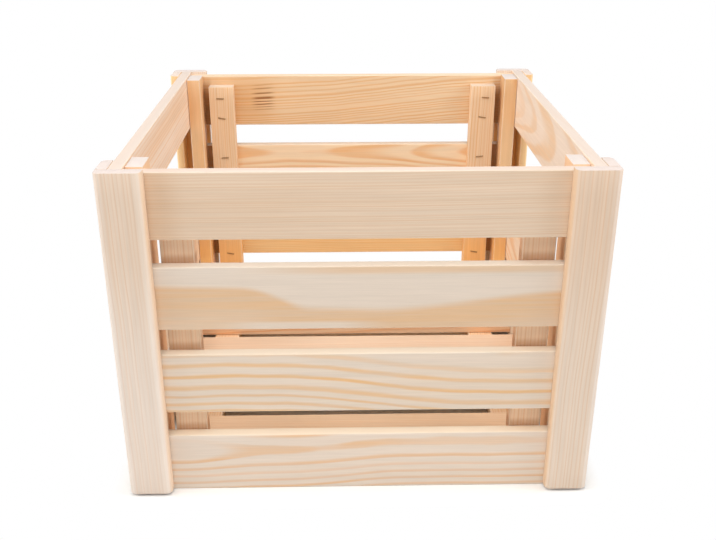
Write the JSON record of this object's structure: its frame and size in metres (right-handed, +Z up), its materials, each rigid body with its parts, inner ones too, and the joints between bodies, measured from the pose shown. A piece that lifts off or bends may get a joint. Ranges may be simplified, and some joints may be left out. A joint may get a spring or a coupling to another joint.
{
  "type": "wooden crate",
  "caption": "Open-topped crate of planed pine slats, with L-shaped corner boards, a hand opening in each side wall, inside battens stapled to the walls and a slatted floor on bearers.",
  "frame": {"origin": "on the ground under the middle of the crate", "axes": "+Z up, +X to the crate's right seen from the front, the front wall looks to -Y"},
  "size_m": [0.4, 0.384, 0.295],
  "materials": {
    "front_slats": "planed, unfinished pine with flat-sawn figure",
    "rear_slats": "planed, unfinished pine",
    "side_slats": "planed, unfinished pine",
    "corner_boards": "planed, unfinished pine with straight grain and rounded edges",
    "battens": "planed, unfinished pine",
    "floor": "planed, unfinished pine",
    "staples": "galvanised flat wire"
  },
  "bodies": {
    "root": {"front_slat_1": "front_slats", "front_slat_2": "front_slats", "front_slat_3": "front_slats", "front_slat_4": "front_slats", "rear_slat_1": "rear_slats", "rear_slat_2": "rear_slats", "rear_slat_3": "rear_slats", "rear_slat_4": "rear_slats", "left_slat_1": "side_slats", "left_slat_3": "side_slats", "left_slat_4": "side_slats", "right_slat_1": "side_slats", "right_slat_3": "side_slats", "right_slat_4": "side_slats", "front_left_corner_board": "corner_boards", "front_right_corner_board": "corner_boards", "rear_left_corner_board": "corner_boards", "rear_right_corner_board": "corner_boards", "left_front_side_board": "corner_boards", "left_rear_side_board": "corner_boards", "right_front_side_board": "corner_boards", "right_rear_side_board": "corner_boards", "front_left_corner_batten": "battens", "front_right_corner_batten": "battens", "rear_left_corner_batten": "battens", "rear_right_corner_batten": "battens", "front_left_wall_batten": "battens", "front_right_wall_batten": "battens", "rear_left_wall_batten": "battens", "rear_right_wall_batten": "battens", "left_floor_bearer": "floor", "right_floor_bearer": "floor", "floor_board_1": "floor", "floor_board_2": "floor", "floor_board_3": "floor", "floor_board_4": "floor", "rear_left_staple_1": "staples", "rear_left_staple_2": "staples", "rear_left_staple_3": "staples", "rear_left_staple_4": "staples", "rear_left_staple_5": "staples", "rear_left_staple_6": "staples", "rear_left_staple_7": "staples", "rear_left_staple_8": "staples", "rear_right_staple_1": "staples", "rear_right_staple_2": "staples", "rear_right_staple_3": "staples", "rear_right_staple_4": "staples", "rear_right_staple_5": "staples", "rear_right_staple_6": "staples", "rear_right_staple_7": "staples", "rear_right_staple_8": "staples"}
  },
  "joints": []
}
